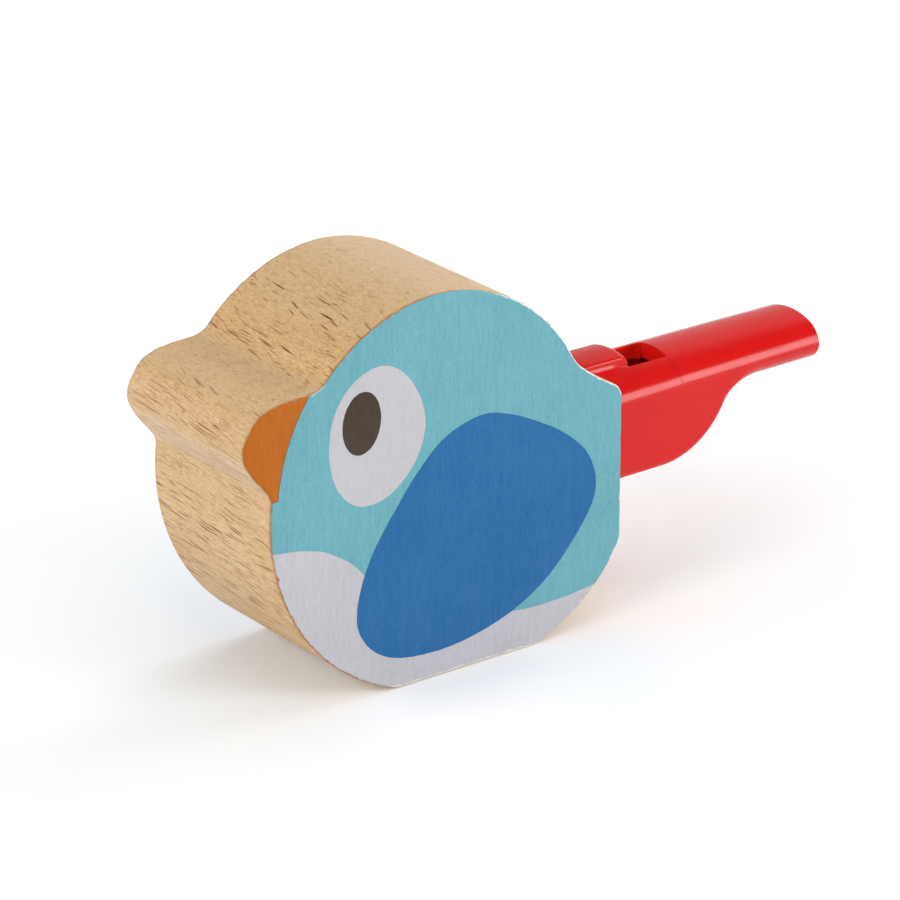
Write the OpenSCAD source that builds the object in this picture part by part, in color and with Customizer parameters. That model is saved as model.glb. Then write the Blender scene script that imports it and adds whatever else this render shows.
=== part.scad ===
// Bird call: a profiled beech block, painted on both faces, with a moulded
// whistle pushed into a mortise in its tail.
// Origin: middle of the whole object's footprint, on the surface it stands on.
// +X towards the mouthpiece, -X towards the beak, +Z up.
// Heights below are counted from a base line; the block's foot is cut flat a
// little above it, and the finished parts are lowered so that the foot is at Z 0.

/* [Block] */
// Overall thickness of the block over both painted faces
block_t = 30; // [27:0.5:36]
// Thickness of the paint on each face
paint_t = 0.15; // [0.1:0.01:0.3]
// Depth of the mortise, from the flat tail face
mortise_depth = 31.5; // [31.2:0.1:34]
// Play between the whistle and the mortise, each side
mortise_play = 0.15; // [0.13:0.01:0.3]

/* [Whistle] */
// Width of the whistle at the tail face and inside the block
whistle_w = 16.2; // [15:0.2:16.8]
// Width of the mouthpiece at the lips, where its sides have drawn in
lips_w = 14.2; // [13:0.1:15]
// Height of the crown of the arched top above the base line
crown_z = 36.2; // [35.6:0.1:36.3]
// Radius of the arched top
arch_r = 12; // [11.5:0.5:16]
// Radius where the side rolls over into the arched top
shoulder_r = 4.2; // [1:0.2:4.6]
// Radius of the chamber's long bottom edges
keel_r = 1.2; // [0.4:0.2:1.4]
// Radius of the mouthpiece's long bottom edges
mouth_r = 3; // [1:0.5:3]
// Wall thickness of the chamber
wall_t = 1.5; // [1.2:0.1:2]
// How far the chamber's top lies under the cover's top
rail_drop = 0.15; // [0.1:0.05:0.3]

/* [Window] */
// Width of the window
window_w = 7.2; // [5:0.2:8]
// X of the lip's edge, the end of the window next to the block
window_x0 = 21.5; // [19:0.5:23]
// X of the other end of the window, where the cover starts
window_x1 = 29; // [27:0.5:31]
// Height of the raised lip above the chamber's top
lip_h = 1.8; // [0.8:0.1:1.8]

/* [Windway] */
// Height of the windway's floor above the base line
windway_z = 32; // [31.6:0.1:32.1]
// Height of the slit at the window
slit_h = 1.4; // [0.8:0.1:1.6]
// Height of the windway at the lips
mouth_h = 2.2; // [1.4:0.1:2.4]
// Width of the windway at the lips
mouth_w = 9.4; // [7.2:0.2:10]

/* [Pea] */
// Diameter of the cork pea
pea_d = 9; // [8.2:0.2:10]

/* [Hidden] */

foot_z = 0.3;           // flat foot, above the base line
tail_x = 11;            // flat tail face
mouth_x = 57.5;         // end of the mouthpiece
arch_z = crown_z - arch_r;
keel_z = 19.2;          // underside of the chamber
lip_z = 29.3;           // underside of the mouthpiece
plug_t = 1.5;           // flange of the plug that closes the chamber
tenon_x = -20;          // inner end of the whistle
ceiling_z = 33;         // chamber's ceiling
chin_r = 14.3;          // swell of the chamber's front
chin_c = [25.45, keel_z + chin_r];
eps = 0.01;

light_blue = [0.46, 0.71, 0.77];
wing_blue = [0.20, 0.45, 0.68];
lilac_white = [0.81, 0.80, 0.83];
pupil_brown = [0.31, 0.28, 0.25];
beak_orange = [0.77, 0.42, 0.15];
beech = [0.87, 0.73, 0.56];
red = [0.87, 0.16, 0.15];
cork = [0.72, 0.55, 0.38];

// Points on an arc, and smooth curves through hand-placed points
function arc(c, r, a0, a1, n = 16) =
    [for (i = [0 : n]) let (a = a0 + (a1 - a0) * i / n) c + r * [cos(a), sin(a)]];
function knot(a, b, c, d, t) =
    0.5 * ((2 * b) + (c - a) * t + (2 * a - 5 * b + 4 * c - d) * t * t
           + (3 * b - a - 3 * c + d) * t * t * t);
function loop_curve(p, n = 6) =
    let (m = len(p)) [for (i = [0 : m - 1], j = [0 : n - 1])
        knot(p[(i + m - 1) % m], p[i], p[(i + 1) % m], p[(i + 2) % m], j / n)];
function open_curve(p, n = 4) =
    let (m = len(p)) concat([for (i = [0 : m - 2], j = [0 : n - 1])
        knot(p[max(i - 1, 0)], p[i], p[i + 1], p[min(i + 2, m - 1)], j / n)], [p[m - 1]]);
function ellipse_curve(c, rx, ry, tilt, n = 40) =
    [for (i = [0 : n - 1]) let (a = 360 * i / n)
        c + [rx * cos(a) * cos(tilt) - ry * sin(a) * sin(tilt),
             rx * cos(a) * sin(tilt) + ry * sin(a) * cos(tilt)]];

// The bird's outline, as X and Z: rump, tail, back, crown, beak, chest, foot
beak_edge = open_curve([[-43.3, 51.1], [-44.9, 50.35], [-46.6, 50.15], [-49, 50.05],
    [-51.2, 49.8], [-53.2, 49.35], [-54.8, 48.5], [-56, 47.1], [-57, 45.4],
    [-57.4, 43.7], [-57.1, 42.3], [-56.2, 40.6], [-55, 38.9], [-53.8, 37.5],
    [-52.9, 36.2], [-52.65, 35.1], [-52.76, 34.2]]);
outline = concat(
    arc([-11.5, 25.2], 25.3, -asin((25.2 - foot_z) / 25.3), -27.2, 20),
    arc([8.5, 36.7], 2.5, 0, 60, 10),
    open_curve([[6.8, 40.55], [4.5, 42.2], [2.9, 43.5], [1.8, 44.8]], 4),
    arc([-23.8, 31.8], 28.7, 28, 88.9, 26),
    arc([-22.7, 33.2], 27.3, 92, 137.5, 22),
    beak_edge,
    arc([-20.4, 31.2], 32.5, 176, 180 + asin((31.2 - foot_z) / 32.5), 30));

wing_line = loop_curve([[-15.5, 40], [-10.2, 38.9], [-5, 36.5], [0, 33.5],
    [4.2, 29.6], [6.1, 25], [5.4, 20.7], [1.6, 15.4], [-3, 10.9], [-8.8, 7.5],
    [-15.5, 5.4], [-22.7, 4.5], [-30.3, 5.2], [-35.2, 7.7], [-37.9, 12.1],
    [-37.4, 17.6], [-34.9, 23.4], [-30.8, 29.2], [-26.8, 34], [-22, 38.1]]);
eye_line = loop_curve([[-34.2, 51.8], [-37.9, 50.5], [-40.9, 47.5], [-42.4, 43.5],
    [-42.5, 38.6], [-40.9, 34], [-37.5, 31.1], [-33.2, 31.1], [-29.6, 33.2],
    [-26.9, 36.5], [-25.6, 40.6], [-26.2, 44.8], [-28.4, 48.7], [-31, 51]]);
pupil_line = ellipse_curve([-36.9, 43.8], 3.35, 4.75, -5);
belly_line = concat(open_curve([[-60, 28], [-55, 27.7], [-51.4, 27.3], [-49, 27],
    [-46.5, 26.5], [-44, 25.7], [-41.6, 24.4], [-39.4, 22.9], [-37.3, 20.9],
    [-33, 16], [-26, 11], [-17, 8.1], [-9, 7], [-4.5, 6.7], [0.6, 6.8],
    [5.6, 7.3], [9, 7.9], [16, 9.3]]), [[16, -5], [-60, -5]]);

module stand() { translate([0, 0, -foot_z]) children(); }
module upright(t, y0) { translate([0, y0 + t, 0]) rotate([90, 0, 0]) linear_extrude(t) children(); }
module bird_2d() { polygon(outline); }
module wing_2d() { polygon(wing_line); }
module eye_2d() { polygon(eye_line); }
module pupil_2d() { polygon(pupil_line); }
// The beak is what lies outside the face's curve, above the throat
module beak_2d() {
    difference() {
        intersection() {
            bird_2d();
            polygon([[-60, 35.4], [-44, 35.4], [-44, 47], [-43, 55], [-60, 55]]);
        }
        translate([-23, 32.9]) circle(r = 28.6, $fn = 180);
    }
}
module belly_2d() {
    difference() {
        intersection() { bird_2d(); polygon(belly_line); }
        wing_2d();
    }
}
module blue_2d() {
    difference() {
        bird_2d();
        polygon(belly_line);
        wing_2d();
        eye_2d();
        beak_2d();
    }
}
module paint(side) {
    stand() upright(paint_t, side < 0 ? -block_t / 2 : block_t / 2 - paint_t) children();
}

// Section of the whistle across its length, as Y and Z
function side_up(y, z, r, ar, az) =
    let (q = ar - r, cy = y - r, cz = az + sqrt(q * q - cy * cy), a = atan2(cz - az, cy))
    concat(arc([cy, cz], r, 0, a, 6), arc([0, az], ar, a, 90, 8));
function mirrored(p) = [for (i = [len(p) - 1 : -1 : 0]) [-p[i][0], p[i][1]]];
function section(w, z0, kr, sr, ar, az) =
    let (h = concat(arc([w / 2 - kr, z0 + kr], kr, -90, 0, 4), side_up(w / 2, z0, sr, ar, az)))
    concat(h, mirrored([for (i = [0 : len(h) - 2]) h[i]]));
module along_x(x0, x1) {
    translate([x0, 0, 0]) rotate([90, 0, 90]) linear_extrude(x1 - x0) children();
}
// Width of the whistle at X: straight in the block, then drawn in towards the lips
function wide_at(x) = whistle_w - (whistle_w - lips_w) * max(0, x - tail_x) / (mouth_x - tail_x);
// The whistle's outside between two sections, with the sides drawn in
module drawn_in(x0, x1, z0, kr, sr, ar) {
    hull() {
        along_x(x0, x0 + eps) polygon(section(wide_at(x0), z0, kr, sr, ar, arch_z));
        if (x0 < tail_x)
            along_x(tail_x - eps, tail_x) polygon(section(whistle_w, z0, kr, sr, ar, arch_z));
        along_x(x1 - eps, x1) polygon(section(wide_at(x1), z0, kr, sr, ar, arch_z));
    }
}
// Plan of the chamber, a wall's thickness inside the sides
module chamber_plan() {
    polygon([for (s = [-1, 1], x = s < 0 ? [tenon_x - 1, tail_x, mouth_x] : [mouth_x, tail_x, tenon_x - 1])
        [x, s * (wide_at(x) / 2 - wall_t)]]);
}
// Side view of the whistle: tenon, chamber, swell, throat and mouthpiece
chin_a = -28.2;
throat_r = (lip_z - chin_c[1] - chin_r * sin(chin_a)) / (1 + sin(chin_a));
throat_c = chin_c + (chin_r + throat_r) * [cos(chin_a), sin(chin_a)];
whistle_side = concat([[tenon_x + plug_t, 60], [tenon_x + plug_t, keel_z]],
    arc(chin_c, chin_r, -90, chin_a, 24),
    [for (i = [1 : 12]) let (a = 180 + chin_a + (90 - 180 - chin_a) * i / 12)
        throat_c + throat_r * [cos(a), sin(a)]],
    arc([mouth_x - 0.8, lip_z + 0.8], 0.8, -90, 0, 6), [[mouth_x, 60]]);
chamber_side = concat([[tenon_x + plug_t - 1, ceiling_z], [tenon_x + plug_t - 1, keel_z + wall_t]],
    arc(chin_c, chin_r - wall_t, -90, asin((windway_z - 1.4 - chin_c[1]) / (chin_r - wall_t)), 18),
    [[window_x1, windway_z - 1.4], [window_x1, ceiling_z]]);

// The beech block with its mortise
module bird_body() {
    color(beech) stand() difference() {
        upright(block_t - 2 * paint_t, -block_t / 2 + paint_t) bird_2d();
        along_x(tail_x - mortise_depth, tail_x + 5)
            polygon(section(whistle_w + 2 * mortise_play, keel_z - mortise_play, 0.8,
                shoulder_r, arch_r + mortise_play, arch_z));
    }
}
module left_blue_paint() { color(light_blue) paint(-1) blue_2d(); }
module left_belly_paint() { color(lilac_white) paint(-1) belly_2d(); }
module left_wing_paint() { color(wing_blue) paint(-1) wing_2d(); }
module left_eye_white_paint() { color(lilac_white) paint(-1) difference() { eye_2d(); pupil_2d(); } }
module left_pupil_paint() { color(pupil_brown) paint(-1) pupil_2d(); }
module left_beak_paint() { color(beak_orange) paint(-1) beak_2d(); }
module right_blue_paint() { color(light_blue) paint(1) blue_2d(); }
module right_belly_paint() { color(lilac_white) paint(1) belly_2d(); }
module right_wing_paint() { color(wing_blue) paint(1) wing_2d(); }
module right_eye_white_paint() { color(lilac_white) paint(1) difference() { eye_2d(); pupil_2d(); } }
module right_pupil_paint() { color(pupil_brown) paint(1) pupil_2d(); }
module right_beak_paint() { color(beak_orange) paint(1) beak_2d(); }

// The raised lip: its sharp lower edge faces the windway
module lip() {
    hw = window_w / 2;
    top = crown_z - rail_drop + lip_h;
    intersection() {
        along_x(tail_x + 0.05, window_x0)
            polygon(concat([[-hw, ceiling_z], [hw, ceiling_z]],
                arc([hw - 0.4, top - 0.85], 0.4, 0, 72, 5),
                arc([0, top - 12], 12, 90 - 15, 90 + 15, 10),
                arc([-hw + 0.4, top - 0.85], 0.4, 108, 180, 5)));
        upright(window_w + 2, -window_w / 2 - 1)
            polygon(concat([[tail_x, ceiling_z], [window_x0, ceiling_z]],
                arc([window_x0 - 1.5, top - 1.2], 1.2, 5, 90, 6), [[tail_x, top]]));
    }
}

// Chamber, tenon and the lower half of the mouthpiece, in one moulding
module whistle_body() {
    hw = window_w / 2;
    color(red) stand() union() {
        difference() {
            intersection() {
                drawn_in(tenon_x, mouth_x, keel_z, keel_r, shoulder_r, arch_r - rail_drop);
                upright(2 * whistle_w, -whistle_w) polygon(whistle_side);
                union() {
                    translate([tenon_x, -whistle_w, 0]) cube([throat_c[0] - tenon_x, 2 * whistle_w, 60]);
                    drawn_in(throat_c[0] - eps, mouth_x, lip_z, mouth_r, 1, arch_r);
                }
            }
            // chamber
            intersection() {
                upright(2 * whistle_w, -whistle_w) polygon(chamber_side);
                linear_extrude(60) chamber_plan();
            }
            // window
            translate([window_x0, -hw, ceiling_z - 1]) cube([window_x1 - window_x0, window_w, 10]);
            // seat of the cover
            translate([window_x1, -whistle_w, windway_z]) cube([60, 2 * whistle_w, 10]);
        }
        lip();
        // low ribs that grip the mortise
        for (s = [-1, 1], z = [23, 30])
            translate([-12, s > 0 ? whistle_w / 2 - eps : -whistle_w / 2 - 0.1, z])
                cube([18, 0.1 + eps, 1]);
    }
}

// Upper half of the mouthpiece, with the windway in its underside
module mouthpiece_cover() {
    color(red) stand() difference() {
        intersection() {
            drawn_in(tenon_x, mouth_x, keel_z, keel_r, shoulder_r, arch_r);
            translate([window_x1 + 0.02, -whistle_w, windway_z + 0.02]) cube([60, 2 * whistle_w, 10]);
        }
        intersection() {
            // the windway narrows in plan and in height towards the window
            translate([0, 0, windway_z - 1]) linear_extrude(8)
                polygon([[window_x1 - 1, -window_w / 2], [window_x1 + 8, -window_w / 2],
                    [mouth_x + 1, -mouth_w / 2], [mouth_x + 1, mouth_w / 2],
                    [window_x1 + 8, window_w / 2], [window_x1 - 1, window_w / 2]]);
            upright(whistle_w, -whistle_w / 2)
                polygon([[window_x1 - 1, windway_z - 1], [mouth_x + 1, windway_z - 1],
                    [mouth_x + 1, windway_z + mouth_h], [window_x1 + 8, windway_z + slit_h],
                    [window_x1 - 1, windway_z + slit_h]]);
        }
    }
}

// Plug that closes the chamber inside the block
module end_plug() {
    color(red) stand() union() {
        along_x(tenon_x, tenon_x + plug_t - 0.02)
            polygon(section(whistle_w, keel_z, keel_r, shoulder_r, arch_r - rail_drop, arch_z));
        translate([tenon_x + plug_t - 0.1, -whistle_w / 2 + wall_t + 0.05, keel_z + wall_t + 0.05])
            cube([2.1, whistle_w - 2 * wall_t - 0.1, ceiling_z - keel_z - wall_t - 0.1]);
    }
}

// Loose cork pea on the chamber's floor
module pea() {
    color(cork) stand() translate([14, 0, keel_z + wall_t + pea_d / 2 + 0.05]) sphere(d = pea_d, $fn = 64);
}

bird_body();
left_blue_paint();
left_belly_paint();
left_wing_paint();
left_eye_white_paint();
left_pupil_paint();
left_beak_paint();
right_blue_paint();
right_belly_paint();
right_wing_paint();
right_eye_white_paint();
right_pupil_paint();
right_beak_paint();
whistle_body();
mouthpiece_cover();
end_plug();
pea();
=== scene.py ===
import math

import bmesh
import bpy
import numpy as np
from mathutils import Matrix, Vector
from mathutils.geometry import delaunay_2d_cdt


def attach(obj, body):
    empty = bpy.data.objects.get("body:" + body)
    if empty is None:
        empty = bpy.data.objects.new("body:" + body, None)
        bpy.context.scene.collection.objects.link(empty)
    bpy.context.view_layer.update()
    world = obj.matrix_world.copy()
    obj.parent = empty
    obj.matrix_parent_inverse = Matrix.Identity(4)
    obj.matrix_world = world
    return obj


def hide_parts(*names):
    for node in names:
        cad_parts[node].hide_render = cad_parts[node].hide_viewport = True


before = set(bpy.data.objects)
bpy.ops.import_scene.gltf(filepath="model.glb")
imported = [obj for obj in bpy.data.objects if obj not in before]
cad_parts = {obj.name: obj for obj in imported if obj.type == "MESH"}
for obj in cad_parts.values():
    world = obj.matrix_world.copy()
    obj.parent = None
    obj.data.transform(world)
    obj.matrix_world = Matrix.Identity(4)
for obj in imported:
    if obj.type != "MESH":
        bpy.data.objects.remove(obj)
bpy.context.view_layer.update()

MM = 0.001
FOOT = 0.3          # the base line of the curves lies this far under the foot

# ---------------------------------------------------------------- curves, in mm
# The same curves as the construction: X and Z, seen from the left face.


def arc(c, r, a0, a1, n):
    a = np.radians(np.linspace(a0, a1, n + 1))
    return np.array(c, float) + r * np.stack([np.cos(a), np.sin(a)], 1)


def knot(a, b, c, d, t):
    return 0.5 * (
        2 * b + (c - a) * t + (2 * a - 5 * b + 4 * c - d) * t**2 + (3 * b - a - 3 * c + d) * t**3
    )


def open_curve(p, n):
    p = np.array(p, float)
    m = len(p)
    t = np.arange(n)[:, None] / n
    rows = [
        knot(p[max(i - 1, 0)], p[i], p[i + 1], p[min(i + 2, m - 1)], t) for i in range(m - 1)
    ]
    return np.concatenate(rows + [p[-1:]])


def loop_curve(p, n):
    p = np.array(p, float)
    m = len(p)
    t = np.arange(n)[:, None] / n
    return np.concatenate([knot(p[i - 1], p[i], p[(i + 1) % m], p[(i + 2) % m], t) for i in range(m)])


beak_edge = open_curve(
    [[-43.3, 51.1], [-44.9, 50.35], [-46.6, 50.15], [-49, 50.05], [-51.2, 49.8], [-53.2, 49.35],
     [-54.8, 48.5], [-56, 47.1], [-57, 45.4], [-57.4, 43.7], [-57.1, 42.3], [-56.2, 40.6],
     [-55, 38.9], [-53.8, 37.5], [-52.9, 36.2], [-52.65, 35.1], [-52.76, 34.2]], 16)
bird_line = np.concatenate([
    arc([-11.5, 25.2], 25.3, -math.degrees(math.asin((25.2 - FOOT) / 25.3)), -27.2, 200),
    arc([8.5, 36.7], 2.5, 0, 60, 40),
    open_curve([[6.8, 40.55], [4.5, 42.2], [2.9, 43.5], [1.8, 44.8]], 20),
    arc([-23.8, 31.8], 28.7, 28, 88.9, 220),
    arc([-22.7, 33.2], 27.3, 92, 137.5, 180),
    beak_edge,
    arc([-20.4, 31.2], 32.5, 176, 180 + math.degrees(math.asin((31.2 - FOOT) / 32.5)), 260),
])
wing_line = loop_curve(
    [[-15.5, 40], [-10.2, 38.9], [-5, 36.5], [0, 33.5], [4.2, 29.6], [6.1, 25], [5.4, 20.7],
     [1.6, 15.4], [-3, 10.9], [-8.8, 7.5], [-15.5, 5.4], [-22.7, 4.5], [-30.3, 5.2], [-35.2, 7.7],
     [-37.9, 12.1], [-37.4, 17.6], [-34.9, 23.4], [-30.8, 29.2], [-26.8, 34], [-22, 38.1]], 24)
eye_line = loop_curve(
    [[-34.2, 51.8], [-37.9, 50.5], [-40.9, 47.5], [-42.4, 43.5], [-42.5, 38.6], [-40.9, 34],
     [-37.5, 31.1], [-33.2, 31.1], [-29.6, 33.2], [-26.9, 36.5], [-25.6, 40.6], [-26.2, 44.8],
     [-28.4, 48.7], [-31, 51]], 24)
belly_line = open_curve(
    [[-60, 28], [-55, 27.7], [-51.4, 27.3], [-49, 27], [-46.5, 26.5], [-44, 25.7], [-41.6, 24.4],
     [-39.4, 22.9], [-37.3, 20.9], [-33, 16], [-26, 11], [-17, 8.1], [-9, 7], [-4.5, 6.7],
     [0.6, 6.8], [5.6, 7.3], [9, 7.9], [16, 9.3]], 20)


def ellipse_line(c, rx, ry, tilt, n):
    a = np.radians(np.arange(n) * 360 / n)
    ct, st = math.cos(math.radians(tilt)), math.sin(math.radians(tilt))
    return np.stack([c[0] + rx * np.cos(a) * ct - ry * np.sin(a) * st,
                     c[1] + rx * np.cos(a) * st + ry * np.sin(a) * ct], 1)


pupil_line = ellipse_line([-36.87, 43.76], 3.39, 4.8, -5, 240)
FACE_C, FACE_R, BEAK_Z = np.array([-23.0, 32.9]), 28.6, 35.4


def resample(p, step, closed=True):
    q = np.concatenate([p, p[:1]]) if closed else p
    s = np.concatenate([[0], np.cumsum(np.hypot(*np.diff(q, axis=0).T))])
    n = max(3, int(round(s[-1] / step)))
    u = np.linspace(0, s[-1], n + 1)
    if closed:
        u = u[:-1]
    return np.stack([np.interp(u, s, q[:, 0]), np.interp(u, s, q[:, 1])], 1)


def normals_of(p, closed=True):
    """Outward normals of a line that runs counterclockwise."""
    if closed:
        t = np.roll(p, -1, 0) - np.roll(p, 1, 0)
    else:
        t = np.gradient(p, axis=0)
    t /= np.maximum(np.hypot(*t.T), 1e-9)[:, None]
    return np.stack([t[:, 1], -t[:, 0]], 1)


def wobble(s, length, waves, seed):
    """A smooth closed noise along a line, about -1 to 1. waves holds (shortest, longest) wavelengths in mm."""
    rng = np.random.default_rng(seed)
    lo, hi = waves
    out = np.zeros_like(s)
    ks = np.unique(np.round(length / np.exp(rng.uniform(np.log(lo), np.log(hi), 26))).astype(int))
    for k in ks:
        out += rng.normal() * np.cos(2 * np.pi * (k * s / length + rng.random()))
    return out / max(np.abs(out).max(), 1e-9)


def inside(poly, pts):
    """Even-odd test of points against a closed line."""
    a, b = poly, np.roll(poly, -1, 0)
    res = np.zeros(len(pts), bool)
    for start in range(0, len(pts), 4000):
        q = pts[start:start + 4000]
        px, pz = q[:, :1], q[:, 1:]
        cross = (a[:, 1] > pz) != (b[:, 1] > pz)
        with np.errstate(divide="ignore", invalid="ignore"):
            xi = a[:, 0] + (pz - a[:, 1]) * (b[:, 0] - a[:, 0]) / (b[:, 1] - a[:, 1])
        res[start:start + 4000] = (np.sum(cross & (px < xi), 1) % 2) == 1
    return res


def smooth(t):
    t = np.clip(t, 0, 1)
    return t * t * (3 - 2 * t)


# The block's outline with its corners broken by sanding, sampled closer where it turns
fine = resample(bird_line, 0.05)
K = np.arange(-16, 17)
W = np.exp(-0.5 * (K * 0.05 / 0.22) ** 2)
W /= W.sum()
fine = np.stack([np.convolve(np.concatenate([c[-16:], c, c[:16]]), W, "valid") for c in fine.T], 1)
turn = np.unwrap(np.arctan2(*(np.roll(fine, -1, 0) - fine).T[::-1]))
bend = np.abs(np.gradient(turn)) / 0.05
bend = np.convolve(np.concatenate([bend[-10:], bend, bend[:10]]), np.ones(21) / 21, "valid")
weight = np.cumsum(np.maximum(1 / 0.42, bend / math.radians(7)) * 0.05)
count = int(weight[-1])
pick = np.interp(np.linspace(0, weight[-1], count, endpoint=False), weight, np.arange(len(fine)))
rim = np.stack([np.interp(pick, np.arange(len(fine)), c) for c in fine.T], 1)
rim_n = normals_of(rim)
rim_s = np.concatenate([[0], np.cumsum(np.hypot(*np.diff(rim, axis=0).T))])
rim_len = rim_s[-1] + math.hypot(*(rim[0] - rim[-1]))
NR = len(rim)

# ---------------------------------------------------------------- mesh helpers


def make(name, verts, faces, attrs=None, sharp=40, normals=None):
    """A mesh object from mm coordinates over the base line."""
    me = bpy.data.meshes.new(name)
    me.from_pydata(((np.asarray(verts, float) - [0, 0, FOOT]) * MM).tolist(), [], faces)
    me.update()
    me.shade_smooth()
    if normals is None:
        me.set_sharp_from_angle(angle=math.radians(sharp))
    for key, values in (attrs or {}).items():
        a = me.attributes.new(key, "FLOAT", "POINT")
        a.data.foreach_set("value", np.asarray(values, np.float32))
    if normals is not None:
        me.normals_split_custom_set_from_vertices(np.asarray(normals, float).tolist())
    ob = bpy.data.objects.new(name, me)
    bpy.context.scene.collection.objects.link(ob)
    return ob


def strip(a, b, flip=False, closed=True):
    """Quads between two rows of vertex numbers."""
    n = len(a)
    m = n if closed else n - 1
    out = []
    for i in range(m):
        j = (i + 1) % n
        out.append([a[i], b[i], b[j], a[j]] if flip else [a[i], a[j], b[j], b[i]])
    return out


def cdt(points, edges):
    """Constrained triangles of 2D points: (points, triangles, turned counterclockwise)."""
    v, _, f, ov, _, _ = delaunay_2d_cdt(
        [Vector(p) for p in points], [tuple(e) for e in edges], [], 0, 1e-6, True)
    v = np.array([list(p) for p in v], float)
    f = np.array([list(t) for t in f if len(t) == 3], int)
    a, b, c = v[f[:, 0]], v[f[:, 1]], v[f[:, 2]]
    area = (b[:, 0] - a[:, 0]) * (c[:, 1] - a[:, 1]) - (b[:, 1] - a[:, 1]) * (c[:, 0] - a[:, 0])
    f[area < 0] = f[area < 0][:, ::-1]
    return v, f[np.abs(area) > 1e-7], ov


# ---------------------------------------------------------------- the beech block
HALF = 14.85      # half of the bare block's thickness
TAIL_X = 11.0
MORTISE_X = -20.5


def side_up(y, r, ar, az):
    q, cy = ar - r, y - r
    cz = az + math.sqrt(q * q - cy * cy)
    a = math.degrees(math.atan2(cz - az, cy))
    return np.concatenate([arc([cy, cz], r, 0, a, 8), arc([0, az], ar, a, 90, 12)[1:]])


def section(w, z0, kr, sr, ar, az):
    h = np.concatenate([arc([w / 2 - kr, z0 + kr], kr, -90, 0, 6), side_up(w / 2, sr, ar, az)])
    return np.concatenate([h, h[:-1][::-1] * [-1, 1]])


on_foot = smooth((FOOT + 0.35 - rim[:, 1]) / 0.3) * smooth((rim[:, 0] + 31.5) / 1.5) * smooth((-6.3 - rim[:, 0]) / 1.5)
RAD = 0.19 + 0.05 * wobble(rim_s, rim_len, (1.5, 14), 5) + 0.12 * on_foot


def block():
    rad = RAD
    rings = []
    turns = np.radians([90, 66, 44, 22, 0])
    for side in (-1, 1):
        rows = []
        for k, a in enumerate(turns):
            inset = rad * (1 - np.cos(a))
            y = (HALF - rad * (1 - np.sin(a)))
            rows.append((rim - rim_n * inset[:, None], y * side, 1 - 0.08 * k))
        rows.append((rim, np.full(NR, (HALF - 0.48) * side), 0.0))
        rows.append((rim, np.full(NR, (HALF - 0.75) * side), 0.0))
        if side == 1:
            rows = rows[::-1]
        if side == -1:
            for r in rows:
                rings.append(r)
            for y in np.linspace(-HALF + 0.75, HALF - 0.75, 22)[1:-1]:
                rings.append((rim, np.full(NR, y), 0.0))
        else:
            for r in rows:
                rings.append(r)
    verts, attr = [], []
    for p, y, e in rings:
        verts.append(np.stack([p[:, 0], y, p[:, 1]], 1))
        attr.append(np.full(NR, e))
    verts = np.concatenate(verts)
    attr = list(np.concatenate(attr))
    number = np.arange(len(rings) * NR).reshape(len(rings), NR)
    # the flat of the tail, which holds the mortise
    flat = np.where(rim[:, 0] > TAIL_X - 0.035)[0]
    if flat[-1] - flat[0] > len(flat):
        flat = np.roll(flat, -np.argmax(np.diff(flat)) - 1)
    first, last = flat[0], flat[-1]
    faces = []
    for r in range(len(rings) - 1):
        row = number[r], number[r + 1]
        open_here = 4 <= r < len(rings) - 5
        for i in range(NR):
            j = (i + 1) % NR
            if open_here and first <= i < last:
                continue
            faces.append([row[0][i], row[0][j], row[1][j], row[1][i]])
    faces.append(list(number[0][::-1]))
    faces.append(list(number[-1]))
    # round the hole: flat wood, a broken edge, then the walls
    outer = list(number[4:len(rings) - 4, first]) + list(number[len(rings) - 5, first + 1:last + 1])
    outer += list(number[4:len(rings) - 5, last][::-1]) + list(number[4, first + 1:last][::-1])
    hole = section(16.5, 19.05, 0.8, 4.2, 12.15, 24.2)
    hole = resample(hole, 0.5)
    hn = normals_of(hole)
    hs = np.arange(len(hole)) / len(hole)
    jag = 0.11 + 0.05 * wobble(hs * 70, 70, (1.5, 9), 17)
    loops = []
    for grow, x in ((1, TAIL_X), (0.35, TAIL_X - 0.05), (0.0, TAIL_X - 0.2), (0, TAIL_X - 8),
                    (0, TAIL_X - 16), (0, TAIL_X - 24), (0, MORTISE_X)):
        q = hole + hn * (jag * grow)[:, None]
        loops.append(len(verts) + np.arange(len(q)))
        verts = np.concatenate([verts, np.stack([np.full(len(q), x), q[:, 0], q[:, 1]], 1)])
        attr += [0.5 if grow else 0.0] * len(q)
    flat2d = [verts[i][[1, 2]] for i in outer] + [verts[i][[1, 2]] for i in loops[0]]
    n0, n1 = len(outer), len(loops[0])
    con = [(i, (i + 1) % n0) for i in range(n0)] + [(n0 + i, n0 + (i + 1) % n1) for i in range(n1)]
    v, f, ov = cdt(flat2d, con)
    ids = [(outer + list(loops[0]))[o[0]] for o in ov]
    mid = v[f].mean(1)
    keep = inside(np.array(flat2d[:n0]), mid) & ~inside(np.array(flat2d[n0:]), mid)
    faces += [[ids[a], ids[b], ids[c]] for a, b, c in f[keep]]
    for a, b in zip(loops, loops[1:]):
        faces += strip(list(a), list(b), flip=False)
    faces.append(list(loops[-1]))
    ob = make("beech_block", verts, faces, {"edge": attr}, sharp=34)
    return ob


# ---------------------------------------------------------------- the paint
ROUND = 0.15        # radius where the coat rolls over the block's edge


def near_param(points, line):
    """For points on a closed line: the segment number and the place in it."""
    a, b = line, np.roll(line, -1, 0)
    d = b - a
    L = np.maximum((d * d).sum(1), 1e-12)
    idx, tt = [], []
    for p in points:
        t = np.clip(((p - a) * d).sum(1) / L, 0, 1)
        q = a + d * t[:, None] - p
        k = int(np.argmin((q * q).sum(1)))
        idx.append(k)
        tt.append(t[k])
    return np.array(idx), np.array(tt)


def close_loop(n, k0=0):
    return [(k0 + i, k0 + (i + 1) % n) for i in range(n)]


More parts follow.
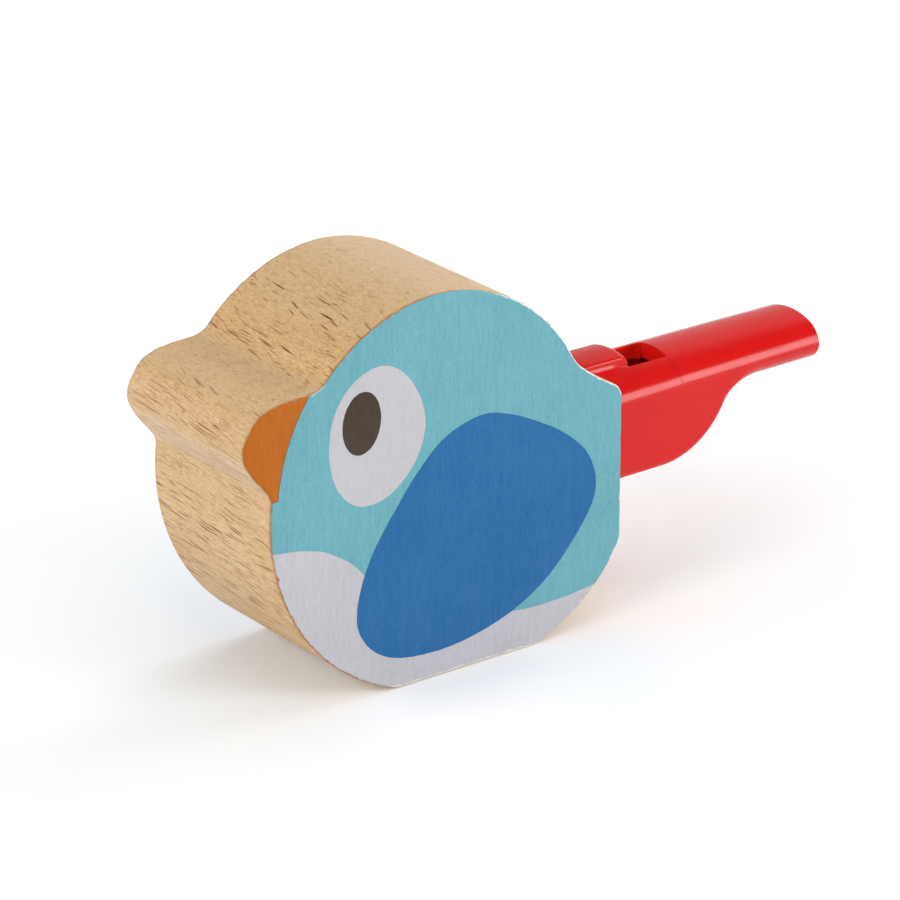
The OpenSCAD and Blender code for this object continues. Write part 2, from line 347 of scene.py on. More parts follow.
def paint(side):
    seed = 40 if side < 0 else 90
    tag = "left" if side < 0 else "right"
    # how far the paint stops short of the block's edge
    rng = np.random.default_rng(seed)
    x, z = rim[:, 0], rim[:, 1]
    stop = 0.055 + 0.025 * wobble(rim_s, rim_len, (1.0, 9), seed + 1)
    chest = smooth((-16 - x) / 6) * smooth((48 - z) / 4)
    stop = stop + chest * (0.05 + 0.05 * wobble(rim_s, rim_len, (0.6, 2.6), seed + 3))
    low = smooth((27 - z) / 8) * smooth((-12 - x) / 20) * (1 - on_foot)
    stop = stop + low * (0.04 + 0.11 * wobble(rim_s, rim_len, (0.7, 3), seed + 2))
    stop = stop + on_foot * (0.2 + 0.05 * wobble(rim_s, rim_len, (1.4, 8), seed + 4))
    for _ in range(64):
        c = rng.uniform(0, rim_len)
        w, d = rng.uniform(0.14, 0.45), rng.uniform(0.06, 0.3)
        gap = np.abs((rim_s - c + rim_len / 2) % rim_len - rim_len / 2)
        here = rim[np.argmin(gap)]
        if here[1] > 34 and here[0] > -30:
            d *= 0.4
        stop = stop + d * np.exp(-(gap / w) ** 2)
    stop = np.clip(stop, 0.03, 0.5)
    line = rim - rim_n * (stop + ROUND)[:, None]
    wood_y = HALF - RAD + np.sqrt(np.maximum(RAD**2 - np.maximum(RAD - stop, 0) ** 2, 0))
    rows = [(line, np.full(NR, 14.972))]
    for a in (58, 29, 0):
        turn_in = 1 - math.cos(math.radians(a))
        rows.append((rim - rim_n * (stop + ROUND * turn_in)[:, None],
                     np.full(NR, 14.972 - ROUND * (1 - math.sin(math.radians(a))))))
    rows.append((rim - rim_n * stop[:, None], np.minimum(14.80, wood_y - 0.03)))
    pts, con = [], []

    def add(p, closed):
        k = len(pts)
        pts.extend(p.tolist())
        n = len(p)
        con.extend(close_loop(n, k) if closed else [(k + i, k + i + 1) for i in range(n - 1)])

    add(line, True)
    wing, eye, pupil = (resample(q, 0.45) for q in (wing_line, eye_line, pupil_line))
    if np.sum(wing[:, 0] * np.roll(wing[:, 1], -1) - np.roll(wing[:, 0], -1) * wing[:, 1]) < 0:
        wing = wing[::-1]
    if np.sum(eye[:, 0] * np.roll(eye[:, 1], -1) - np.roll(eye[:, 0], -1) * eye[:, 1]) < 0:
        eye = eye[::-1]
    inner = line - rim_n * 0.3
    curves = []
    for loop in (wing, eye, pupil):
        n = normals_of(loop)
        k = len(loop)
        lengths = np.arange(k) * 0.45
        loop_w = loop + n * (0.035 * wobble(lengths, k * 0.45, (0.9, 5), seed + k))[:, None]
        curves.append(loop_w)
        add(loop_w, True)
        add(loop_w - n * 0.16, True)
        add(loop_w + n * 0.16, True)
    wing, eye, pupil = curves
    add(inner, True)
    # the face's curve behind the beak, and the beak's lower edge
    a = np.radians(np.linspace(118, 182, 140))
    ring = np.stack([np.cos(a), np.sin(a)], 1)
    jog = 0.03 * wobble(np.arange(140) * 0.23, 140 * 0.23, (0.9, 5), seed + 7)
    face_line = FACE_C + ring * (FACE_R + jog)[:, None]
    cut = face_line[:, 1] > BEAK_Z
    beak_x = FACE_C[0] - math.sqrt(FACE_R**2 - (BEAK_Z - FACE_C[1]) ** 2)
    corner = np.array([[beak_x, BEAK_Z]])
    arc_in = np.concatenate([face_line[cut], corner])
    low_edge = np.stack([np.linspace(beak_x, -54.5, 10), np.full(10, BEAK_Z)], 1)
    beak_line = np.concatenate([arc_in, low_edge[1:]])
    add(beak_line, False)
    add(FACE_C + ring[cut] * (FACE_R + 0.2), False)
    add(FACE_C + ring[cut] * (FACE_R - 0.2), False)
    add(low_edge + [0, 0.2], False)
    beak_poly = np.concatenate([beak_line, [[-60, BEAK_Z], [-60, 56], [-36, 60]]])
    # the belly's upper edge, left out under the wing
    b = resample(belly_line, 0.45, closed=False)
    bn = normals_of(b, closed=False)
    b = b + bn * (0.04 * wobble(np.arange(len(b)) * 0.45, len(b) * 0.45, (0.9, 6), seed + 9))[:, None]
    for shift in (0, 0.16, -0.16):
        q = b + bn * shift
        hid = inside(wing, q)
        runs = np.split(np.arange(len(q)), np.where(np.diff(hid.astype(int)) != 0)[0] + 1)
        for r in runs:
            if hid[r[0]]:
                continue
            lo_i, hi_i = max(r[0] - 1, 0), min(r[-1] + 1, len(q) - 1)
            add(q[lo_i:hi_i + 1], False)
    belly_poly = np.concatenate([b, [[16, -5], [-60, -5]]])
    # points over the face, so that its triangles stay even
    gx, gz = np.meshgrid(np.arange(-58, 12, 1.9), np.arange(0, 62, 1.65))
    gx = gx + (np.arange(gx.shape[0]) % 2 * 0.95)[:, None]
    g = np.stack([gx.ravel(), gz.ravel()], 1)
    g = g + rng.uniform(-0.2, 0.2, g.shape)
    g = g[inside(line, g)]
    base = np.array(pts)
    far = np.array([np.min(((base - p) ** 2).sum(1)) for p in g]) > 0.75**2
    pts.extend(g[far].tolist())
    v, f, _ = cdt(pts, con)
    mid = v[f].mean(1)
    on = inside(line, mid)
    f, mid = f[on], mid[on]
    kind = np.full(len(f), "blue", dtype="<U9")
    kind[inside(belly_poly, mid)] = "belly"
    kind[inside(beak_poly, mid)] = "beak"
    kind[inside(eye, mid)] = "eye_white"
    kind[inside(pupil, mid)] = "pupil"
    kind[inside(wing, mid)] = "wing"
    tops = {"blue": 14.972, "belly": 14.968, "beak": 14.984, "eye_white": 14.98, "pupil": 14.99, "wing": 14.994}
    made = {}
    for k, top in tops.items():
        tri = f[kind == k]
        used = np.unique(tri)
        to = {int(u): n for n, u in enumerate(used)}
        P = v[used]
        nP = len(used)
        T = np.array([[to[int(q)] for q in t] for t in tri])
        V = [np.stack([P[:, 0], np.full(nP, top), P[:, 1]], 1),
             np.stack([P[:, 0], np.full(nP, HALF), P[:, 1]], 1)]
        faces = T.tolist() + (T[:, ::-1] + nP).tolist()
        edges = {}
        for a_, b_, c_ in T.tolist():
            for e in ((a_, b_), (b_, c_), (c_, a_)):
                edges[e] = True
        border = [e for e in edges if (e[1], e[0]) not in edges]
        bset = sorted({q for e in border for q in e})
        # which border points lie on the outer line
        d_idx, d_t = near_param(P[bset], line)
        a0, a1 = line[d_idx], line[(d_idx + 1) % NR]
        foot = a0 + (a1 - a0) * d_t[:, None]
        on_line = np.hypot(*(foot - P[bset]).T) < 2e-4
        where = {q: (int(i), float(t)) for q, i, t, o in zip(bset, d_idx, d_t, on_line) if o}
        extra, ring_no = [], {}
        for q, (i, t) in where.items():
            ring_no[q] = len(extra)
            j = (i + 1) % NR
            for line_r, y in rows[1:]:
                p = line_r[i] * (1 - t) + line_r[j] * t
                extra.append([p[0], y[i] * (1 - t) + y[j] * t, p[1]])
        ne = 2 * nP
        if extra:
            V.append(np.array(extra))
        rim_in = np.zeros(ne + len(extra))
        rim_out = np.zeros(ne + len(extra))
        rim_out[ne:] = np.tile([0.86, 0.93, 1.0, 1.0], len(extra) // 4)
        for q in bset:
            if q in where:
                rim_out[q] = 0.8
        for a_, b_ in border:
            outer = a_ in where and b_ in where
            if outer:
                ia, ib = where[a_], where[b_]
                gap = abs(ia[0] + ia[1] - ib[0] - ib[1])
                outer = min(gap, NR - gap) < 1.01
            if outer:
                ra, rb = ne + ring_no[a_], ne + ring_no[b_]
                chain_a = [a_, ra, ra + 1, ra + 2, ra + 3, a_ + nP]
                chain_b = [b_, rb, rb + 1, rb + 2, rb + 3, b_ + nP]
            else:
                chain_a, chain_b = [a_, a_ + nP], [b_, b_ + nP]
                for q in (a_, b_):
                    rim_in[q] = rim_in[q + nP] = 1
            for (p0, p1), (q0, q1) in zip(zip(chain_a, chain_a[1:]), zip(chain_b, chain_b[1:])):
                faces.append([p0, p1, q1, q0])
        V = np.concatenate(V)
        V[:, 1] *= side
        if side < 0:
            faces = [t[::-1] for t in faces]
        # triangles counterclockwise in X and Z face -Y, so the left face is turned
        faces = [t[::-1] for t in faces]
        ob = make(f"{tag}_{k}_coat", V, faces, {"rim_in": rim_in, "rim_out": rim_out}, sharp=30)
        made[k] = ob
    return made


# ---------------------------------------------------------------- moulded parts, from distance fields


def rmax(a, b, r):
    """What lies in both shapes, with the edge between them rounded to about r."""
    u, v = np.maximum(a + r, 0), np.maximum(b + r, 0)
    return np.minimum(-r, np.maximum(a, b)) + np.hypot(u, v)


def rmin(a, b, r):
    return -rmax(-a, -b, r)


def nets(name, f, xs, ys, zs, attrs=None):
    """A mesh of the surface where f is 0, on a grid, with each vertex drawn onto the surface."""
    X, Y, Z = np.meshgrid(xs, ys, zs, indexing="ij")
    V = f(X, Y, Z)
    IN = V < 0
    nx, ny, nz = V.shape
    acc = np.zeros((nx - 1, ny - 1, nz - 1, 3))
    cnt = np.zeros((nx - 1, ny - 1, nz - 1))
    G = (X, Y, Z)
    cross = []
    for ax in range(3):
        s0 = [slice(None)] * 3
        s1 = [slice(None)] * 3
        s0[ax], s1[ax] = slice(0, -1), slice(1, None)
        s0, s1 = tuple(s0), tuple(s1)
        E = IN[s0] != IN[s1]
        with np.errstate(divide="ignore", invalid="ignore"):
            t = np.where(E, V[s0] / (V[s0] - V[s1]), 0)
        pos = [np.where(E, g[s0] + (g[s1] - g[s0]) * t, 0) for g in G]
        cross.append((E, IN[s0]))
        o = [a for a in range(3) if a != ax]
        for i in (0, 1):
            for j in (0, 1):
                sl = [slice(None)] * 3
                sl[o[0]] = slice(i, V.shape[o[0]] - 1 + i)
                sl[o[1]] = slice(j, V.shape[o[1]] - 1 + j)
                sl = tuple(sl)
                cnt += E[sl]
                for c in range(3):
                    acc[..., c] += pos[c][sl]
    act = cnt > 0
    num = np.full(act.shape, -1)
    num[act] = np.arange(act.sum())
    P = acc[act] / cnt[act][:, None]
    quads = []
    for ax in range(3):
        E, first = cross[ax]
        o = [a for a in range(3) if a != ax]
        sl = [slice(None)] * 3
        sl[o[0]] = slice(1, V.shape[o[0]] - 1)
        sl[o[1]] = slice(1, V.shape[o[1]] - 1)
        E2, F2 = E[tuple(sl)], first[tuple(sl)]
        idx = np.argwhere(E2)
        out = F2[E2]
        base = idx.copy()
        base[:, o[0]] += 1
        base[:, o[1]] += 1
        q = []
        for di, dj in ((-1, -1), (0, -1), (0, 0), (-1, 0)):
            c = base.copy()
            c[:, o[0]] += di
            c[:, o[1]] += dj
            q.append(num[tuple(c.T)])
        q = np.stack(q, 1)
        turned = out if ax != 1 else ~out
        q[~turned] = q[~turned][:, ::-1]
        quads.append(q)
    quads = np.concatenate(quads)

    def grad(p, e=0.02):
        g = []
        for c in range(3):
            d = np.zeros(3)
            d[c] = e
            g.append((f(*(p + d).T) - f(*(p - d).T)) / (2 * e))
        return np.stack(g, 1)

    for _ in range(4):
        g = grad(P)
        n2 = np.maximum((g * g).sum(1), 0.05)
        step = np.clip(f(*P.T), -0.15, 0.15) / n2
        P = P - g * step[:, None]
    n = grad(P, 0.03)
    n /= np.maximum(np.linalg.norm(n, axis=1), 1e-9)[:, None]
    extra = {k: fn(P, n) for k, fn in (attrs or {}).items()}
    return make(name, P, quads.tolist(), extra, normals=n)


def arch(y, z, w, R, az, sr):
    """Section of the arched top with its rolled shoulders."""
    ay = np.abs(y)
    q, cy = R - sr, w - sr
    dz = np.sqrt(q * q - cy * cy)
    d = np.maximum(ay - w, np.hypot(y, z - az) - R)
    vy, vz = ay - cy, z - (az + dz)
    roll = (vz > 0) & (vy * dz - vz * cy > 0)
    return np.where(roll, np.hypot(vy, vz) - sr, d)


CHIN = (25.45, 33.5)
CHIN_R, KEEL_Z, LIP_Z = 14.3, 19.2, 29.3
CA = math.radians(-28.2)
SHOULDER = 4.2
THROAT_R = (LIP_Z - CHIN[1] - CHIN_R * math.sin(CA)) / (1 + math.sin(CA))
THROAT = (CHIN[0] + (CHIN_R + THROAT_R) * math.cos(CA), CHIN[1] + (CHIN_R + THROAT_R) * math.sin(CA))


def under(x, z, grow=0.0):
    """The underside in side view: chamber, swell, throat, mouthpiece."""
    d_keel = KEEL_Z + grow - z
    d_chin = np.hypot(x - CHIN[0], z - CHIN[1]) - (CHIN_R - grow)
    d_throat = THROAT_R + grow - np.hypot(x - THROAT[0], z - THROAT[1])
    d_lip = LIP_Z + grow - z
    past = (x > CHIN[0]) & (np.arctan2(z - CHIN[1], x - CHIN[0]) > CA)
    d = np.where(x <= CHIN[0], d_keel, d_chin)
    return np.where(past, np.where(x < THROAT[0], d_throat, d_lip), d)


def half_at(x):
    """Half of the whistle's width: straight in the block, then drawn in towards the lips."""
    return 8.1 - 0.98 * np.maximum(x - TAIL_X, 0) / 46.5


def whole(x, y, z, R):
    kr = 1.2 + 1.8 * smooth((x - 39.5) / 6)
    w = half_at(x)
    low = rmax(np.abs(y) - w, under(x, z), kr)
    d = np.maximum(arch(y, z, w, R, 24.2, SHOULDER), low)
    return rmax(d, x - 57.5, 0.25)


def hump(x, y, z):
    crown = 37.85 - 0.0022 * (x - 18) ** 2 - 25.85
    d = rmax(np.hypot(y, z - 25.85) - crown, x - 21.5, 1.5)
    d = rmax(d, np.abs(y) - 3.6, 0.32)
    return np.maximum(np.maximum(d, 11.05 - x), 33 - z)


def body_field(x, y, z):
    d = whole(x, y, z, 11.93)
    d = rmax(d, -18.5 - x, 0.15)
    d = rmin(d, hump(x, y, z), 0.1 + 1.1 * smooth((20.9 - x) / 3.0))
    # grip ribs on the tenon
    rib = np.minimum(np.abs(z - 23.5), np.abs(z - 30.5)) - 0.5
    rib = np.maximum(np.maximum(rib, np.abs(x + 3) - 9), np.abs(y) - 8.2)
    d = np.minimum(d, np.maximum(rib, 7.6 - np.abs(y)))
    # chamber, window and the seat of the cover
    inner = rmax(np.abs(y) - half_at(x) + 1.5, under(x, z, 1.5), 0.6)
    top = np.minimum(np.maximum(x - 29, z - 33), z - 30.6)
    cham = rmax(inner, top, 0.3)
    cham = np.maximum(cham, x - 40)
    d = np.maximum(d, -cham)
    win = np.maximum(rmax(y - 3.6, x - 29, 1.4), np.maximum(-3.6 - y, np.maximum(21.5 - x, 32 - z)))
    d = rmax(d, -win, 0.14)
    seat = np.maximum(29 - x, 32 - z)
    return rmax(d, -seat, 0.02)


def cover_field(x, y, z):
    d = whole(x, y, z, 11.955)
    d = rmax(d, 29.008 - x, 0.02)
    d = rmax(d, 32.008 - z, 0.02)
    wide = 3.6 + 1.1 * np.clip((x - 37) / 20.4, 0, 1)
    high = 33.4 + 0.8 * np.clip((x - 37) / 20.4, 0, 1)
    way = np.maximum(np.abs(y) - wide, z - high)
    return rmax(d, -way, 0.12)


def plug_field(x, y, z):
    flange = np.maximum(arch(y, z, 8.1, 11.85, 24.2, SHOULDER), rmax(np.abs(y) - 8.1, KEEL_Z - z, 1.2))
    flange = rmax(flange, np.abs(x + 19.26) - 0.74, 0.2)
    spigot = rmax(np.abs(y) - 6.55, np.abs(z - 26.85) - 6.1, 0.8)
    spigot = rmax(spigot, np.abs(x + 17.6) - 1.0, 0.3)
    return np.minimum(flange, spigot)


def steps(*parts):
    """Grid lines from (start, end, step) stretches that follow each other."""
    out = []
    for a, b, s in parts:
        n = max(1, int(round((b - a) / s)))
        out += list(a + (b - a) * np.arange(n) / n)
    return np.array(out + [parts[-1][1]])


def whistle():
    half = steps((0, 2.8, 0.35), (2.8, 4.2, 0.175), (4.2, 6.9, 0.3), (6.9, 8.64, 0.145))
    ys = np.concatenate([-half[::-1][:-1], half]) + 0.0137
    zs = steps((18.8, 20.8, 0.22), (20.8, 28.8, 0.4), (28.8, 31.6, 0.25), (31.6, 32.25, 0.055),
               (32.25, 33.4, 0.2), (33.4, 38.2, 0.2))
    xs = steps((-18.9, -18.2, 0.17), (-18.2, 10.6, 0.9), (10.6, 11.4, 0.15), (11.4, 19.8, 0.35), (19.8, 22, 0.17),
               (22, 28.7, 0.33), (28.7, 29.3, 0.055), (29.3, 36, 0.4), (36, 48, 0.35), (48, 56.4, 0.5),
               (56.4, 57.9, 0.16))
    shell = nets("whistle_moulding", body_field, xs, ys, zs)
    zs2 = steps((31.8, 32.3, 0.055), (32.3, 34.6, 0.2), (34.6, 36.6, 0.2))
    xs2 = steps((28.8, 29.35, 0.055), (29.35, 37, 0.4), (37, 56.4, 0.5), (56.4, 57.9, 0.16))
    half2 = steps((0, 3.2, 0.32), (3.2, 5.0, 0.18), (5.0, 6.8, 0.24), (6.8, 8.2, 0.14))
    ys2 = np.concatenate([-half2[::-1][:-1], half2]) + 0.0137
    cover = nets("mouthpiece_moulding", cover_field, xs2, ys2, zs2)
    xs3 = steps((-20.3, -19.7, 0.1), (-19.7, -18.2, 0.15), (-18.2, -16.2, 0.25))
    zs3 = steps((18.5, 22, 0.25), (22, 31, 0.5), (31, 36.5, 0.25))
    half3 = steps((0, 5.8, 0.5), (5.8, 8.6, 0.2))
    ys3 = np.concatenate([-half3[::-1][:-1], half3]) + 0.0137
    plug = nets("chamber_plug", plug_field, xs3, ys3, zs3)
    return shell, cover, plug


def cork_pea():
    rng = np.random.default_rng(3)
    bm = bmesh.new()
    bmesh.ops.create_icosphere(bm, subdivisions=5, radius=1.0)
    n = np.array([v.co[:] for v in bm.verts])
    faces = [[v.index for v in f.verts] for f in bm.faces]
    bm.free()
    r = np.full(len(n), 4.5 - 0.1)
    for _ in range(26):
        k, ph = rng.normal(size=3) * 2.2, rng.random() * 6.28
        r += 0.02 * np.cos(n @ k + ph)
    for _ in range(60):
        d = rng.normal(size=3)
        d /= np.linalg.norm(d)
        along = np.cross(d, rng.normal(size=3))
        along /= np.linalg.norm(along)
        across = np.cross(d, along)
        a, b = n @ along, n @ across
        wide, long = rng.uniform(0.03, 0.06), rng.uniform(0.06, 0.2)
        r -= rng.uniform(0.1, 0.28) * np.exp(-(a / long) ** 2 - (b / wide) ** 2) * (n @ d > 0)
    r = np.minimum(r, 4.48)
    return make("cork_ball", n * r[:, None] + [14, 0, 24.95], faces, sharp=80)


# ---------------------------------------------------------------- materials


class S:
    """A socket that adds, multiplies and so on by making math nodes."""

    def __init__(self, m, sock):
        self.m, self.sock = m, sock

    def __add__(self, o):
        return self.m.math("ADD", self, o)

    def __sub__(self, o):
        return self.m.math("SUBTRACT", self, o)

    def __rsub__(self, o):
        return self.m.math("SUBTRACT", o, self)

    def __mul__(self, o):
        return self.m.math("MULTIPLY", self, o)

    def __truediv__(self, o):
        return self.m.math("DIVIDE", self, o)

    __radd__, __rmul__ = __add__, __mul__


class Mat:
    def __init__(self, name):
        self.mat = bpy.data.materials.new(name)
        self.mat.use_nodes = True
        self.nt = self.mat.node_tree
        self.nt.nodes.clear()
        out = self.nt.nodes.new("ShaderNodeOutputMaterial")
        self.bsdf = self.nt.nodes.new("ShaderNodeBsdfPrincipled")
        self.nt.links.new(self.bsdf.outputs[0], out.inputs[0])

    def node(self, kind, **props):
        n = self.nt.nodes.new(kind)
        for k, v in props.items():
            setattr(n, k, v)
        return n

    def put(self, sock, v):
        if isinstance(v, S):
            self.nt.links.new(v.sock, sock)
        elif v is not None:
            sock.default_value = v

    def math(self, op, a, b=None, clamp=False):
        n = self.node("ShaderNodeMath", operation=op, use_clamp=clamp)
        self.put(n.inputs[0], a)
        if b is not None:
            self.put(n.inputs[1], b)
        return S(self, n.outputs[0])

    def place(self):
        """Object coordinates in mm, as three numbers."""
        tc = self.node("ShaderNodeTexCoord")
        sc = self.node("ShaderNodeVectorMath", operation="SCALE")
        self.nt.links.new(tc.outputs["Object"], sc.inputs[0])
        sc.inputs["Scale"].default_value = 1000.0
        sp = self.node("ShaderNodeSeparateXYZ")
        self.nt.links.new(sc.outputs[0], sp.inputs[0])
        return [S(self, o) for o in sp.outputs]

    def vec(self, x, y, z):
        n = self.node("ShaderNodeCombineXYZ")
        for s, v in zip(n.inputs, (x, y, z)):
            self.put(s, v)
        return S(self, n.outputs[0])

    def noise(self, v, scale=1.0, detail=2.0, rough=0.5, dist=0.0, color=False):
        n = self.node("ShaderNodeTexNoise")
        self.put(n.inputs["Vector"], v)
        n.inputs["Scale"].default_value = scale
        n.inputs["Detail"].default_value = detail
        n.inputs["Roughness"].default_value = rough
        n.inputs["Distortion"].default_value = dist
        return S(self, n.outputs["Color" if color else "Fac"])

    def line_noise(self, w, scale=1.0, detail=2.0, rough=0.5):
        n = self.node("ShaderNodeTexNoise", noise_dimensions="1D")
        self.put(n.inputs["W"], w)
        n.inputs["Scale"].default_value = scale
        n.inputs["Detail"].default_value = detail
        n.inputs["Roughness"].default_value = rough
        return S(self, n.outputs["Fac"])

    def cells(self, v, scale=1.0, pointed=None):
        """Distance to the nearest of scattered points, and that point's three random numbers."""
        n = self.node("ShaderNodeTexVoronoi", feature="F1")
        if pointed:
            n.distance = "MINKOWSKI"
            n.inputs["Exponent"].default_value = pointed
        self.put(n.inputs["Vector"], v)
        n.inputs["Scale"].default_value = scale
        sp = self.node("ShaderNodeSeparateColor")
        self.nt.links.new(n.outputs["Color"], sp.inputs[0])
        return S(self, n.outputs["Distance"]), [S(self, o) for o in sp.outputs]

    def ease(self, v, a, b, lo=0.0, hi=1.0):
        """A smooth step: lo where v is a, hi where v is b."""
        n = self.node("ShaderNodeMapRange", interpolation_type="SMOOTHSTEP")
        for i, q in enumerate((v, a, b, lo, hi)):
            self.put(n.inputs[i], q)
        return S(self, n.outputs[0])

    def attr(self, name):
        n = self.node("ShaderNodeAttribute", attribute_name=name)
        return S(self, n.outputs["Fac"])

    def mix(self, fac, a, b, kind="MIX"):
        n = self.node("ShaderNodeMix", data_type="RGBA", blend_type=kind)
        self.put(n.inputs[0], fac)
        for s, v in ((n.inputs[6], a), (n.inputs[7], b)):
            self.put(s, v if isinstance(v, S) else (*v, 1.0))
        return S(self, n.outputs[2])

    def bump(self, h, strength, distance, normal=None):
        n = self.node("ShaderNodeBump")
        n.inputs["Strength"].default_value = strength
        n.inputs["Distance"].default_value = distance
        self.put(n.inputs["Height"], h)
        if normal is not None:
            self.put(n.inputs["Normal"], normal)
        return S(self, n.outputs[0])

    def normal_z(self):
        g = self.node("ShaderNodeNewGeometry")
        sp = self.node("ShaderNodeSeparateXYZ")
        self.nt.links.new(g.outputs["Normal"], sp.inputs[0])
        return S(self, sp.outputs[2])


def lin(r, g, b):
    """Linear light from 0-255 sRGB numbers."""
    out = []
    for v in (r, g, b):
        v /= 255
        out.append(v / 12.92 if v <= 0.04045 else ((v + 0.055) / 1.055) ** 2.4)
    return tuple(out)


def beech():
    m = Mat("beech")
    x, y, z = m.place()
    warp = m.node("ShaderNodeSeparateColor")
    wn = m.noise(m.vec(x * 0.035, y * 0.016, z * 0.035), 1.0, 1.0, color=True)
    m.nt.links.new(wn.sock, warp.inputs[0])
    w1, w2 = S(m, warp.outputs[0]), S(m, warp.outputs[1])
    zf = z - y * 0.085 + (w1 - 0.5) * 2.6
    xf = x + y * 0.02 + (w2 - 0.5) * 2.6
    # growth rings stand across X
    rings = m.line_noise(xf + m.noise(m.vec(x * 0.02, y * 0.01, z * 0.02), 1.0, 1.0) * 9, 0.42, 3.0, 0.6)
    patch = m.noise(m.vec(xf * 0.06, y * 0.03, zf * 0.06), 1.0, 3.0, 0.55)
    cloud = m.noise(m.vec(xf * 0.22, y * 0.1, zf * 0.3), 1.0, 3.0, 0.6)
    fibre = m.noise(m.vec(xf * 2.2, y * 0.42, zf * 4.6), 1.0, 3.0, 0.65)
    fuzz = m.noise(m.vec(xf * 4.5, y * 1.2, zf * 6.5), 1.0, 2.0, 0.65)
    # the rays are upright sheets that run along X: dark spindles where the surface
    # cuts across them, soft flecks where it lies along them
    bow = (m.noise(m.vec(x * 0.12, y * 0.1, z * 0.2), 1.0, 0.0) - 0.5) * 1.2

    slim = 1 - m.ease(m.math("ABSOLUTE", m.normal_z()), 0.25, 0.85) * 0.34

    def rays(size, at, r0, r1, soft, keep):
        """Spindles scattered in cells of the given size, of r0 to r1 cells in radius."""
        d, c = m.cells(m.vec((xf + at[0]) / size[0], (y + at[1]) / size[1], (zf + bow + at[2]) / size[2]), pointed=1.55)
        return m.ease(d / (m.ease(c[0], 0.0, 1.0, r0, r1) * slim), 1.0, soft) * m.ease(c[1], *keep)

    long_ray = rays((8.0, 10.0, 0.34), (0, 0, 0), 0.20, 0.41, 0.7, (0.0, 0.35, 0.3, 1.0))
    more_ray = rays((6.0, 7.0, 0.31), (17, 5, 3), 0.16, 0.41, 0.7, (0.1, 0.65, 0.1, 1.0))
    long_ray = m.math("MAXIMUM", long_ray, more_ray)
    short_ray = rays((2.6, 3.6, 0.24), (31, 0, 7), 0.14, 0.44, 0.55, (0.3, 0.8, 0.0, 1.0))
    pores = rays((1.5, 1.9, 0.24), (7, 3, 0), 0.12, 0.44, 0.4, (0.0, 0.8, 0.1, 0.9))
    slope = m.ease(x, -20, -32) * m.ease(z, 46, 50)
    calm = 1 - m.ease(m.math("ABSOLUTE", m.normal_z()), 0.6, 0.9) * 0.5 + slope * 0.5
    flat_on = m.ease(m.math("ABSOLUTE", m.normal_z()), 0.72, 0.95)
    sheer = m.ease(m.math("ABSOLUTE", m.normal_z()), 0.88, 0.98)
    # on the slopes the same sheets are cut at a slant: thinner dashes, and more of them
    tilted = m.ease(m.math("ABSOLUTE", m.normal_z()), 0.25, 0.5)
    thin_ray = rays((6.0, 8.5, 0.25), (23, 11, 5), 0.2, 0.46, 0.62, (0.0, 0.3, 0.5, 1.0)) * tilted
    long_ray = m.math("MAXIMUM", long_ray * (1 - tilted * 0.25), thin_ray)
    # the beak's wood is a little calmer than the head's
    beak = m.ease(x, -42, -47) * m.ease(z, 28, 32)
    long_ray = long_ray * (1 - sheer * 0.9) * (1 - beak * 0.35)
    short_ray = short_ray * (1 - sheer * 0.65) * (1 - beak * 0.3)
    pores = pores * (1 - flat_on * 0.3)
    d4, c4 = m.cells(m.vec(xf / 1.9, y / 2.6, zf / 1.9))
    fleck = m.ease(d4, 0.42, 0.1) * m.ease(c4[0], 0.35, 1.0) * flat_on
    col = m.mix(m.ease(patch, 0.3, 0.7), lin(217, 184, 140), lin(209, 172, 126))
    col = m.mix(m.ease(cloud, 0.35, 0.75, 0.0, 0.5), col, lin(201, 161, 115))
    col = m.mix(m.ease(rings, 0.42, 0.7, 0.0, 0.35), col, lin(196, 154, 108))
    # painted light: faces that turn up, and faces that turn down under the beak and head, are made paler
    col = m.mix(flat_on * 0.6, col, lin(216, 187, 156))
    col = m.mix(m.ease(m.normal_z(), -0.15, -0.6) * m.ease(z, 30, 34) * 0.6, col, lin(222, 194, 166))
    col = m.mix(m.ease(fibre, 0.5, 0.75, 0.0, 0.5) * calm, col, lin(178, 130, 84))
    col = m.mix(m.ease(fibre, 0.5, 0.25, 0.0, 0.4) * calm, col, lin(236, 208, 166))
    col = m.mix(m.ease(fuzz, 0.5, 0.75, 0.0, 0.5) * calm, col, lin(172, 122, 78))
    col = m.mix(m.ease(fuzz, 0.5, 0.25, 0.0, 0.45) * calm, col, lin(240, 216, 180))
    col = m.mix(fleck * 0.3, col, lin(188, 136, 92))
    col = m.mix(pores * 0.8, col, lin(160, 97, 48))
    col = m.mix(short_ray * 0.98, col, lin(142, 74, 24))
    col = m.mix(long_ray * 0.98, col, lin(121, 49, 5))
    # the crown's front slope is a little warmer
    col = m.mix(slope, col, (0.965, 0.908, 0.79), "MULTIPLY")
    # the broken edges on the front are darker orange-brown in patches
    edge = m.attr("edge")
    edge_blotch = m.noise(m.vec(x * 0.8, y * 0.8, z * 0.8), 1.0, 2.0)
    left = m.ease(x, -8, -26)
    col = m.mix(edge * left * m.ease(edge_blotch, 0.25, 0.6, 0.45, 0.9), col, lin(178, 112, 56))
    # painted highlight: the broken edge along the foot is made near-white
    col = m.mix(edge * m.ease(z, 2.0, 0.4) * 0.7, col, lin(232, 228, 220))
    col = m.mix(1.0, col, (0.892, 0.908, 0.893), "MULTIPLY")
    m.put(m.bsdf.inputs["Base Color"], col)
    rough = m.ease(fibre, 0.2, 0.8, 0.46, 0.6) + long_ray * 0.12
    m.put(m.bsdf.inputs["Roughness"], rough)
    m.bsdf.inputs["Specular IOR Level"].default_value = 0.3
    h = fibre * 0.5 + fuzz * 0.35 - long_ray * 0.9 - short_ray * 0.4 - pores * 0.3
    n = m.bump(h, 0.35, 0.00006)
    m.put(m.bsdf.inputs["Normal"], n)
    return m.mat


